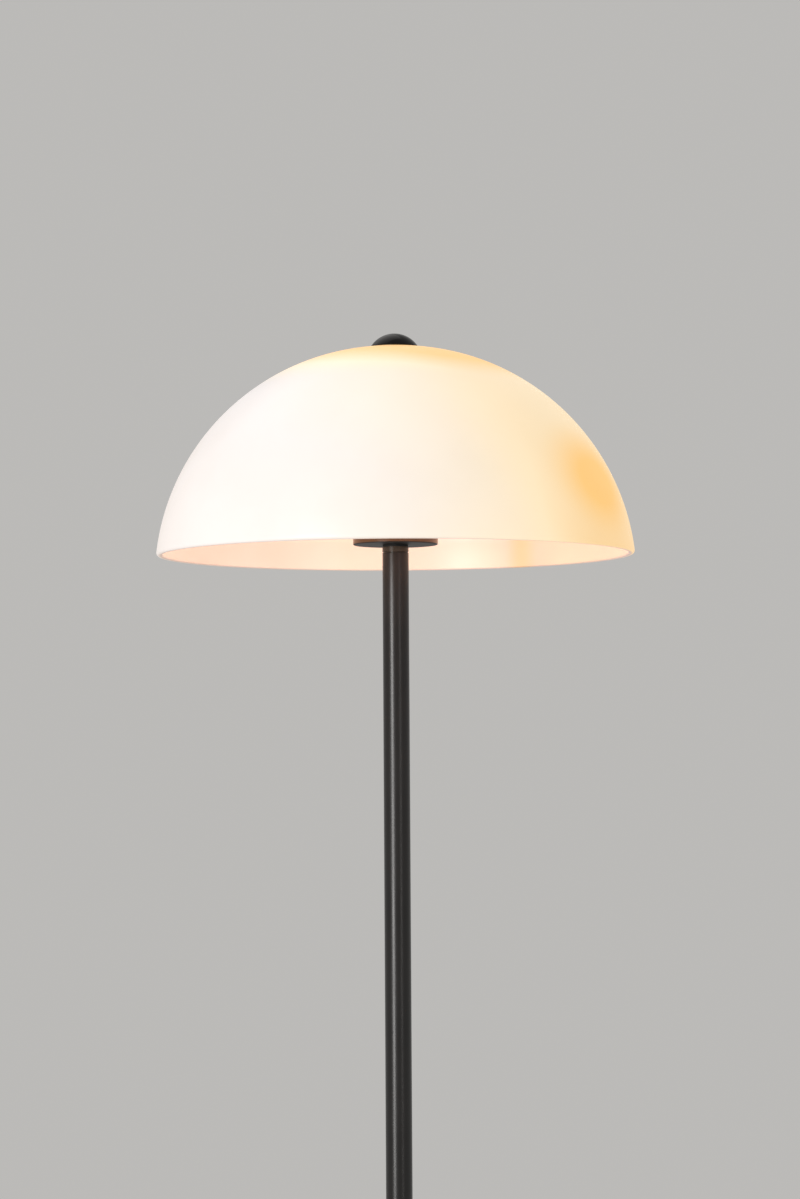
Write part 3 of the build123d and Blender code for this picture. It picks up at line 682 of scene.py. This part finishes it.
def makeShade(size):
    flat = size["crownFlat"]
    outer = arcRadius(size["radius"] - flat, size["height"])
    inner = arcRadius(size["radius"] - size["rimWall"] - flat, size["height"] - size["crownWall"])
    outerCentre = (flat, rimHeight + size["height"] - outer)
    innerCentre = (flat, rimHeight + size["height"] - size["crownWall"] - inner)
    outside = arcCorners(
        outerCentre, outer,
        math.acos((size["topLand"] - flat) / outer),
        math.asin((rimHeight - outerCentre[1]) / outer),
        size["spans"],
    )
    inside = arcCorners(
        innerCentre, inner,
        math.asin((rimHeight - innerCentre[1]) / inner),
        math.acos((size["seatLand"] - flat) / inner),
        size["spans"],
    )
    outside[-1] = (*outside[-1], size["outerRound"])
    inside[0] = (*inside[0], size["innerRound"])
    hole = [
        (size["hole"], inside[-1][1], size["holeRound"]),
        (size["hole"], outside[0][1], size["holeRound"]),
    ]
    piece = turned("shadeDome", hole + outside + inside, size["steps"])
    settle(piece, "shade_glass", "opal_glass", finishes["opal_glass"], "shade")


makeShade(shadeGlass)


# The knob and its washer.

knobSize = {
    "recess": 0.0168, "bore": 0.00805, "edgeRound": 0.0003, "rimRound": 0.00012,
    "steps": 160, "spans": 36,
}


def makeKnob(size):
    radius, base, top = radiusOf("finial_knob"), bottomOf("finial_knob"), topOf("finial_knob")
    seat, boreTop = bottomOf("finial_insert"), topOf("finial_insert")
    sphere = arcRadius(radius, top - base)
    edge = math.acos(radius / sphere)
    dome = arcCorners((0, top - sphere), sphere, edge, math.pi / 2, size["spans"])
    dome[0] = (*dome[0], size["rimRound"])
    dome[-1] = (0, top)
    corners = [
        (0, boreTop), (size["bore"], boreTop), (size["bore"], seat, size["edgeRound"]),
        (size["recess"], seat), (size["recess"], base, size["edgeRound"]), *dome,
    ]
    piece = turned("knob", corners, size["steps"])
    settle(piece, "knob", "black_coat", knobCoat, "finial_knob")


makeKnob(knobSize)
washerSize = {"bore": 0.0097, "edge": 0.00035}


def makeRing(name, node, body, slot, size):
    # a plain ring with softened edges
    radius, base, top = radiusOf(node), bottomOf(node), topOf(node)
    edge = size["edge"]
    corners = [
        (size["bore"], base, edge), (radius, base, edge),
        (radius, top, edge), (size["bore"], top, edge),
    ]
    settle(turned(name, corners), body, slot, finishes[slot], node)


makeRing("knobWasher", "finial_washer", "knob_washer", "clear_silicone", washerSize)
print("shade and knob made")


# The pan, its ring and the pole.

panSize = {"wall": 0.0012, "hole": 0.0053, "corner": 0.001, "lip": 0.0004, "steps": 160}


def makePan(size):
    radius, base, top = radiusOf("shade_pan"), bottomOf("shade_pan"), topOf("shade_pan")
    inner, floor = radius - size["wall"], base + size["wall"]
    corners = [
        (size["hole"], base), (radius, base, size["corner"]), (radius, top, size["lip"]),
        (inner, top, size["lip"]), (inner, floor, size["lip"]), (size["hole"], floor),
    ]
    piece = turned("pan", corners, size["steps"])
    settle(piece, "stand", "black_coat", panCoatPaintedReflection, "shade_pan")


makePan(panSize)
makeRing("panRing", "spacer_ring", "stand", "black_rubber", {"bore": 0.0053, "edge": 0.0003})

poleSize = {
    "wall": 0.0012, "edge": 0.00035, "hole": 0.00505, "plugRadius": 0.00975, "flange": 0.0049,
    "nose": 0.001, "steps": 160,
    "shadowGap": 0.0006,       # the fine dark line between a flange and its tube
}


def makeTube(name, node, size):
    radius, base, top = radiusOf(node), bottomOf(node), topOf(node)
    bore, edge = radius - size["wall"], size["edge"]
    corners = [(bore, base), (radius, base, edge), (radius, top, edge), (bore, top)]
    piece = turned(name, corners, size["steps"])
    settle(piece, "stand", "black_coat", finishes["black_coat"], node)


def makePlug(name, node, size, flangeUp, coat):
    # a plug in the tube's end, with a flange as wide as the pole on the side that shows
    radius, base, top = radiusOf(node), bottomOf(node), topOf(node)
    edge, hole, body, gap = size["edge"], size["hole"], size["plugRadius"], size["shadowGap"]
    if flangeUp:
        under = top - size["flange"]
        corners = [
            (hole, base), (body, base, size["nose"]), (body, under + gap),
            (radius, under + gap, edge), (radius, top, edge), (hole, top),
        ]
    else:
        over = base + size["flange"]
        corners = [
            (hole, base), (radius, base, edge), (radius, over - gap, edge), (body, over - gap),
            (body, top, size["nose"]), (hole, top),
        ]
    piece = turned(name, corners, size["steps"])
    settle(piece, "stand", "black_coat", coat, node)


makeTube("poleUpper", "pole_upper", poleSize)
makeTube("poleLower", "pole_lower", poleSize)
makePlug("poleTopFlange", "pole_top_plug", poleSize, True, flangeCoatPaintedGlow)
makePlug("poleFootFlange", "pole_foot_plug", poleSize, False, finishes["black_coat"])
print("pan and pole made")


# The foot.

coverSize = {
    "wall": 0.0012, "hole": 0.0053, "round": 0.005, "lip": 0.0003,
    "inletHole": 0.0049, "steps": 224,
}


def makeCover(size):
    radius, base, top = radiusOf("base_cover"), bottomOf("base_cover"), topOf("base_cover")
    inner, under = radius - size["wall"], top - size["wall"]
    corners = [
        (size["hole"], under), (inner, under, size["round"] - size["wall"]),
        (inner, base, size["lip"]), (radius, base, size["lip"]),
        (radius, top, size["round"]), (size["hole"], top),
    ]
    piece = turned("footCover", corners, size["steps"])
    low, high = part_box("cable_gland")
    bpy.ops.mesh.primitive_cylinder_add(
        vertices=48, radius=size["inletHole"], depth=2 * (high.y - low.y),
        location=(0, radius, (low.z + high.z) / 2), rotation=(math.pi / 2, 0, 0),
    )
    cutWith(piece, bpy.context.object)
    settle(piece, "stand", "black_coat", finishes["black_coat"], "base_cover")


makeCover(coverSize)
padSize = {"edge": 0.0006, "step": 0.012, "groove": 0.0004, "grooveWidth": 0.0016, "steps": 224}


def makePad(size):
    # the pad under the foot, with moulded rings on its underside
    radius, base, top = radiusOf("base_pad"), bottomOf("base_pad"), topOf("base_pad")
    corners = [(0, base)]
    reach = size["step"]
    while reach < radius - size["step"] / 2:
        corners += [
            (reach, base), (reach, base + size["groove"]),
            (reach + size["grooveWidth"], base + size["groove"]),
            (reach + size["grooveWidth"], base),
        ]
        reach += size["step"]
    corners += [(radius, base, size["edge"]), (radius, top), (0, top)]
    piece = turned("footPad", corners, size["steps"])
    settle(piece, "stand", "black_rubber", finishes["black_rubber"], "base_pad")


makePad(padSize)
inletSize = {
    "bore": 0.0033, "wall": 0.0013, "barb": 0.0008, "barbLength": 0.0024,
    "flange": 0.0064, "flangeThick": 0.002, "nose": 0.005, "noseLength": 0.0023,
    "inner": 0.008, "round": 0.0007, "gap": 0.0003, "sheet": 0.0012, "steps": 96,
}


def makeInlet(size):
    # turned about Z, then laid along +Y at the back of the foot
    low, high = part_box("cable_gland")
    body, face = size["bore"] + size["wall"], size["gap"] + size["flangeThick"]
    inside = -size["sheet"] - size["gap"]
    corners = [
        (size["bore"], -size["inner"]), (body, -size["inner"]), (body, inside - size["barbLength"]),
        (body + size["barb"], inside), (body, inside), (body, size["gap"]),
        (size["flange"], size["gap"]), (size["flange"], face, size["round"]),
        (size["nose"], face), (size["nose"], face + size["noseLength"], size["round"]),
        (size["bore"], face + size["noseLength"]),
    ]
    piece = turned("cordInlet", corners, size["steps"])
    piece.rotation_euler = (-math.pi / 2, 0, 0)
    piece.location = (0, low.y + size["inner"], (low.z + high.z) / 2)
    bpy.ops.object.transform_apply(location=True, rotation=True, scale=True)
    settle(piece, "stand", "black_nylon", finishes["black_nylon"], "cable_gland")


makeInlet(inletSize)
print("foot made")


# The head: what holds the glass and the bulb.

threadRows = 8           # rings of vertices in one pitch of a thread


def threadCorners(radius, thread):
    # the rings that cutThread will move, from the thread's start up to its end
    step = thread["pitch"] / threadRows
    rings = int((thread["to"] - thread["from"]) / step)
    return [(radius, thread["from"] + step * index) for index in range(rings + 1)]


def cutThread(piece, radius, thread, steps):
    # sinks each vertex by how far it is from the crest of a right-hand thread
    bpy.ops.object.mode_set(mode="EDIT")
    step = thread["pitch"] / threadRows
    for phase in range(steps):
        def onPhase(place):
            if abs(math.hypot(place.x, place.y) - radius) > closeTo:
                return False
            if not thread["from"] - closeTo < place.z < thread["to"] + closeTo:
                return False
            ring = round((place.z - thread["from"]) / step)
            column = round(math.atan2(place.y, place.x) / (2 * math.pi) * steps)
            return (ring * steps // threadRows - column) % steps == phase
        sunk = thread["depth"] * (0.5 + 0.5 * math.cos(2 * math.pi * phase / steps))
        if sunk < closeTo:
            continue
        pickParts(piece, onPhase)
        shrink = (radius - sunk) / radius
        bpy.ops.transform.resize(value=(shrink, shrink, 1), center_override=(0, 0, 0))
    tidySurface(piece)


def sinkRibs(piece, radius, low, high, depth, steps):
    # pushes in one face in two round a band, which leaves grip ribs
    bpy.ops.object.mode_set(mode="EDIT")
    bpy.ops.mesh.select_mode(type="FACE")
    bpy.ops.mesh.select_all(action="DESELECT")
    mesh = bmesh.from_edit_mesh(piece.data)
    for face in mesh.faces:
        place = face.calc_center_median()
        inBand = low < place.z < high and abs(math.hypot(place.x, place.y) - radius) < radius * 0.01
        column = math.floor(math.atan2(place.y, place.x) / (2 * math.pi) * steps)
        face.select_set(inBand and column % 2 == 0)
    bmesh.update_edit_mesh(piece.data)
    bpy.ops.mesh.extrude_region_shrink_fatten(TRANSFORM_OT_shrink_fatten={"value": -depth})
    tidySurface(piece)


def settleAs(piece, body, node):
    settle(piece, body, slotOf[node], finishes[slotOf[node]], node)


seatSize = {"wall": 0.0015, "hole": 0.0053, "edge": 0.0002, "steps": 128}


def makeSeat(size):
    # the disc under the crown, its edge rolled down
    radius, base, top = radiusOf("shade_seat"), bottomOf("shade_seat"), topOf("shade_seat")
    inner, under = radius - size["wall"], top - size["wall"]
    corners = [
        (size["hole"], under, size["edge"]), (inner, under), (inner, base, size["edge"]),
        (radius, base, size["edge"]), (radius, top, size["wall"]),
        (size["hole"], top, size["edge"]),
    ]
    settleAs(turned("shadeSeat", corners, size["steps"]), "stand", "shade_seat")


studSize = {
    "block": 0.007, "blockRound": 0.0006, "flange": 0.0095, "flangeThick": 0.0015, "edge": 0.0003,
    "wireUp": 0.005, "hole": 0.0023, "screw": 0.005, "nose": 0.0006, "steps": 64,
    "thread": {"pitch": 0.001, "depth": 0.00055, "relief": 0.001},
}


def makeStud(size):
    # the turned block on the harp's top bar, with its M10 x 1 thread
    base, top = bottomOf("harp_stud"), topOf("harp_stud")
    seat = bottomOf("seat_gasket") - seatSize["wall"]
    thread = {**size["thread"], "from": seat + size["thread"]["relief"], "to": top - size["nose"]}
    corners = [
        (0, base), (size["block"], base, size["blockRound"]),
        (size["block"], seat - size["flangeThick"]),
        (size["flange"], seat - size["flangeThick"], size["edge"]),
        (size["flange"], seat, size["edge"]), (size["screw"], seat),
        *threadCorners(size["screw"], thread),
        (size["screw"] - size["nose"], top), (0, top),
    ]
    piece = turned("harpStud", corners, size["steps"])
    cutThread(piece, size["screw"], thread, size["steps"])
    bpy.ops.mesh.primitive_cylinder_add(
        vertices=48, radius=size["hole"], depth=4 * size["block"],
        location=(0, 0, base + size["wireUp"]), rotation=(0, math.pi / 2, 0),
    )
    cutWith(piece, bpy.context.object)
    settleAs(piece, "stand", "harp_stud")


gasketSize = {"hole": 0.0053, "edge": 0.0004, "groove": 0.0004, "grooveHalf": 0.0008, "steps": 128}


def makeGasket(size):
    # the soft ring that the glass rests on, with a moulded groove on each face
    radius, base, top = radiusOf("seat_gasket"), bottomOf("seat_gasket"), topOf("seat_gasket")
    middle, half, groove = (size["hole"] + radius) / 2, size["grooveHalf"], size["groove"]
    corners = [
        (size["hole"], base, size["edge"]),
        (middle - half, base), (middle, base + groove), (middle + half, base),
        (radius, base, size["edge"]), (radius, top, size["edge"]),
        (middle + half, top), (middle, top - groove), (middle - half, top),
        (size["hole"], top, size["edge"]),
    ]
    settleAs(turned("seatGasket", corners, size["steps"]), "stand", "seat_gasket")


sleeveSize = {
    "bore": 0.0023, "reach": 0.025, "edge": 0.0003, "foot": 0.0018, "groove": 0.0004,
    "ribs": 0.0002, "steps": 60,
}


def makeSleeves(size):
    # turned and knurled once, then copied on to the other leg
    outer = radiusOf("harp_sleeves") - size["reach"]
    base, top = bottomOf("harp_sleeves"), topOf("harp_sleeves")
    foot, waist = base + size["foot"], outer - size["groove"]
    corners = [
        (size["bore"], base), (outer, base, size["edge"]), (outer, foot),
        (waist, foot + size["groove"]), (waist, foot + 2 * size["groove"]),
        (outer, foot + 3 * size["groove"]), (outer, top - size["foot"]),
        (outer, top, 2 * size["edge"]), (size["bore"], top, size["edge"]),
    ]
    right = turned("harpSleeveRight", corners, size["steps"])
    sinkRibs(
        right, outer, foot + 3 * size["groove"], top - size["foot"], size["ribs"], size["steps"]
    )
    left = right.copy()
    left.data = right.data.copy()
    left.name = left.data.name = "harpSleeveLeft"
    bpy.context.scene.collection.objects.link(left)
    for piece, reach in ((right, size["reach"]), (left, -size["reach"])):
        bpy.ops.object.select_all(action="DESELECT")
        piece.select_set(True)
        bpy.context.view_layer.objects.active = piece
        piece.location.x = reach
        bpy.ops.object.transform_apply(location=True, rotation=True, scale=True)
        settleAs(piece, "stand", "harp_sleeves")


holderSize = {
    "wall": 0.0015, "throat": 0.0155, "lip": 0.0008, "foot": 0.0015, "edge": 0.0003,
    "collar": 0.004, "collarDrop": 0.0005, "ribs": 0.0005, "steps": 96,
}


def makeSkirt(size):
    # the lampholder's upper half: a plain collar at the top, and grip ribs below it
    radius, top = radiusOf("lampholder_skirt"), topOf("lampholder_skirt")
    seat, ledge = topOf("lampholder_cap"), topOf("lampholder_core")
    inside = radius - size["wall"]
    low, high = seat + size["foot"], top - size["collar"]
    corners = [
        (inside, seat), (radius, seat, size["edge"]), (radius, low), (radius, high),
        (radius - size["collarDrop"], high + size["collarDrop"]),
        (radius - size["collarDrop"], top, size["lip"]),
        (size["throat"], top, size["lip"]), (size["throat"], ledge), (inside, ledge),
    ]
    piece = turned("lampholderSkirt", corners, size["steps"])
    sinkRibs(piece, radius, low, high, size["ribs"], size["steps"])
    settleAs(piece, "stand", "lampholder_skirt")


capSize = {
    "bore": 0.00505, "neck": 0.0075, "neckHeight": 0.003, "entry": 0.0055, "shoulder": 0.012,
    "ledge": 0.010, "ledgeRadius": 0.0155, "round": 0.002, "wall": 0.0015, "edge": 0.0003,
    "bead": 0.0011, "beadRise": 0.0005, "steps": 96,
}


def makeHolderCap(size):
    # the lower half: a neck on the nipple, flared to the ledge, with a bead round its top edge
    radius, base = radiusOf("lampholder_cap"), bottomOf("lampholder_cap")
    top = topOf("lampholder_cap")
    inside, bead = radius - size["wall"], size["bead"]
    corners = [
        (size["bore"], base), (size["neck"], base, size["edge"]),
        (size["neck"], base + size["neckHeight"], size["round"]),
        (radius - size["beadRise"], base + size["shoulder"], size["round"]),
        (radius - size["beadRise"], top - bead - size["beadRise"]), (radius, top - bead),
        (radius, top, size["edge"]), (inside, top), (inside, base + size["ledge"]),
        (size["ledgeRadius"], base + size["ledge"]),
        (size["bore"] + size["wall"], base + size["entry"]), (size["bore"], base + size["entry"]),
    ]
    settleAs(turned("lampholderCap", corners, size["steps"]), "stand", "lampholder_cap")


makeSeat(seatSize)
makeStud(studSize)
makeGasket(gasketSize)
makeSleeves(sleeveSize)
makeSkirt(holderSize)
makeHolderCap(capSize)
print("head made")


# The bulb.

globeSize = {
    "radius": 0.030, "neck": 0.0142, "wall": 0.001, "spigot": 0.01265, "overlap": 0.004,
    "edge": 0.0005, "steps": 128, "spans": 30,
}


def makeGlobe(size):
    # a blown ball that runs down into its neck along a tangent
    radius, top = size["radius"], topOf("bulb_globe")
    centre = top - radius
    drop = centre - topOf("bulb_cap")
    reach = math.hypot(size["neck"], drop)
    tangent = math.acos(radius / reach) + math.acos(drop / reach)
    end = tangent - math.pi / 2
    inner = radius - size["wall"]
    outside = arcCorners((0, centre), radius, math.pi / 2, end, size["spans"])
    inside = arcCorners((0, centre), inner, end, math.pi / 2, size["spans"])
    outside[0], inside[-1] = (0, top), (0, top - size["wall"])
    spigot, cap = size["spigot"], topOf("bulb_cap")
    low = cap - size["overlap"]
    corners = outside + [
        (size["neck"], cap, size["edge"]), (spigot, cap), (spigot, low),
        (spigot - size["wall"], low), (spigot - size["wall"], cap),
    ] + inside
    piece = turned("bulbGlobe", corners, size["steps"])
    settleAs(piece, "bulb", "bulb_globe")


bulbCapSize = {
    "foot": 0.0106, "wall": 0.0005, "drawIn": 0.0026, "land": 0.0006, "plain": 0.003,
    "taper": 0.001, "steps": 96, "thread": {"pitch": 0.00362, "depth": 0.0009},
}


def makeBulbCap(size):
    # the metal cap, with its rolled thread
    radius, base, top = radiusOf("bulb_cap"), bottomOf("bulb_cap"), topOf("bulb_cap")
    drawn = base + size["drawIn"]
    thread = {**size["thread"], "from": drawn + size["land"], "to": top - size["plain"]}
    inside = radius - size["wall"]
    lining = inside - size["thread"]["depth"]
    corners = [
        (size["foot"] - size["wall"], base), (size["foot"], base), (radius, drawn),
        *threadCorners(radius, thread), (radius, top), (inside, top),
        (inside, thread["to"] + size["taper"]), (lining, thread["to"]), (lining, drawn),
    ]
    piece = turned("bulbCap", corners, size["steps"])
    cutThread(piece, radius, thread, size["steps"])
    settleAs(piece, "bulb", "bulb_cap")


makeGlobe(globeSize)
makeBulbCap(bulbCapSize)
print("bulb made")


# The floor, lights, world and camera.

studio = {
    "floor": (0.80, 0.79, 0.77), "background": (0.50, 0.492, 0.478), "skyLight": 0.45,
    "reach": 30.0, "fadeFrom": 0.7, "fadeTo": 2.8,       # the floor blends into the background
    "key": {
        "place": (-1.64, -2.18, -0.15), "size": (0.74, 1.6), "power": 13.5,
        "colour": (1.0, 0.985, 0.97),
    },
    "strip": {
        "place": (1.40, -2.10, -0.15), "size": (0.16, 1.7), "power": 1.0,
        "colour": (1.0, 0.96, 0.93),
    },
    "top": {
        "place": (-0.5, 0.7, 1.6), "size": (1.6, 1.6), "power": 1.5, "colour": (1.0, 0.98, 0.95),
    },
    "back": {
        "place": (0.4, 2.6, 0.9), "size": (1.6, 1.6), "power": 8.0, "colour": (1.0, 0.98, 0.95),
        "gloss": False,
    },
    "spread": 95.0,
    "camera": {
        "place": (0.0035, -2.3661, -0.1618), "lens": 85.0, "sensor": 36.0, "pitch": 3.029,
        "roll": -0.343,
    },
}


def raySeen(tree):
    # 1 for what the camera, gloss and glass see
    path = addNode(tree, "LightPath").outputs
    seen = addMath(tree, "MAXIMUM", path["Is Camera Ray"], path["Is Glossy Ray"])
    return addMath(tree, "MAXIMUM", seen, path["Is Transmission Ray"])


def makeFloor():
    bpy.ops.object.select_all(action="DESELECT")
    bpy.ops.mesh.primitive_circle_add(vertices=128, radius=studio["reach"], fill_type="NGON")
    floor = bpy.context.object
    floor.name = "floor"
    material, tree, shader = newMaterial("paleFloor", {"Specular IOR Level": 0.2})
    place = objectPlace(tree)
    look = {
        "drift": 1.5, "dark": [0.985 * part for part in studio["floor"]], "light": studio["floor"],
        "smooth": 0.75, "rough": 0.85,
    }
    useTone(tree, shader, place, look)
    away = addNode(tree, "VectorMath", {"operation": "LENGTH"}, {0: place}).outputs["Value"]
    fade = addMath(
        tree, "MULTIPLY", addRange(tree, away, studio["fadeFrom"], studio["fadeTo"]), raySeen(tree)
    )
    wall = addNode(tree, "Emission", None, {
        "Color": (*studio["background"], 1), "Strength": 1.0,
    }).outputs[0]
    blend = addNode(tree, "MixShader", None, {0: fade, 1: shader.outputs[0], 2: wall}).outputs[0]
    tree.links.new(blend, tree.nodes["Material Output"].inputs["Surface"])
    floor.data.materials.append(material)


def makeLight(name, light):
    # places are from the middle of the rim, and each light faces that point
    data = bpy.data.lights.new(name, "AREA")
    data.shape = "RECTANGLE"
    data.size, data.size_y = light["size"]
    data.energy, data.color = light["power"], light["colour"]
    data.spread = math.radians(studio["spread"])
    lamp = bpy.data.objects.new(name, data)
    bpy.context.scene.collection.objects.link(lamp)
    lamp.location = Vector(light["place"]) + Vector((0, 0, rimHeight))
    lamp.rotation_euler = (-Vector(light["place"])).to_track_quat("-Z", "Y").to_euler()
    lamp.visible_camera = False
    lamp.visible_glossy = light.get("gloss", True)


def makeWorld():
    # cameras, gloss and glass see the pale background; everything else gets a soft white sky
    world = bpy.data.worlds.new("studio")
    bpy.context.scene.world = world
    world.use_nodes = True
    tree = world.node_tree
    tree.nodes.clear()
    sky = addNode(tree, "Background", None, {"Color": (1, 1, 1, 1), "Strength": studio["skyLight"]})
    wall = addNode(tree, "Background", None, {"Color": (*studio["background"], 1), "Strength": 1.0})
    mixed = addNode(tree, "MixShader", None, {
        0: raySeen(tree), 1: sky.outputs[0], 2: wall.outputs[0],
    })
    addNode(tree, "OutputWorld", None, {"Surface": mixed.outputs[0]})


def makeCamera():
    # placed from the middle of the rim, tipped up past level by pitch, and rolled about its line
    view = studio["camera"]
    data = bpy.data.cameras.new("camera")
    data.lens, data.sensor_width = view["lens"], view["sensor"]
    camera = bpy.data.objects.new("camera", data)
    bpy.context.scene.collection.objects.link(camera)
    camera.location = Vector(view["place"]) + Vector((0, 0, rimHeight))
    camera.rotation_mode = "QUATERNION"
    tilt = Quaternion((1, 0, 0), math.radians(90 + view["pitch"]))
    camera.rotation_quaternion = tilt @ Quaternion((0, 0, 1), math.radians(view["roll"]))
    bpy.context.scene.camera = camera


makeFloor()
for name in ("key", "strip", "top", "back"):
    makeLight(name, studio[name])
makeWorld()
makeCamera()
bpy.context.scene.view_settings.view_transform = "Standard"

print("stage, lights and camera made")
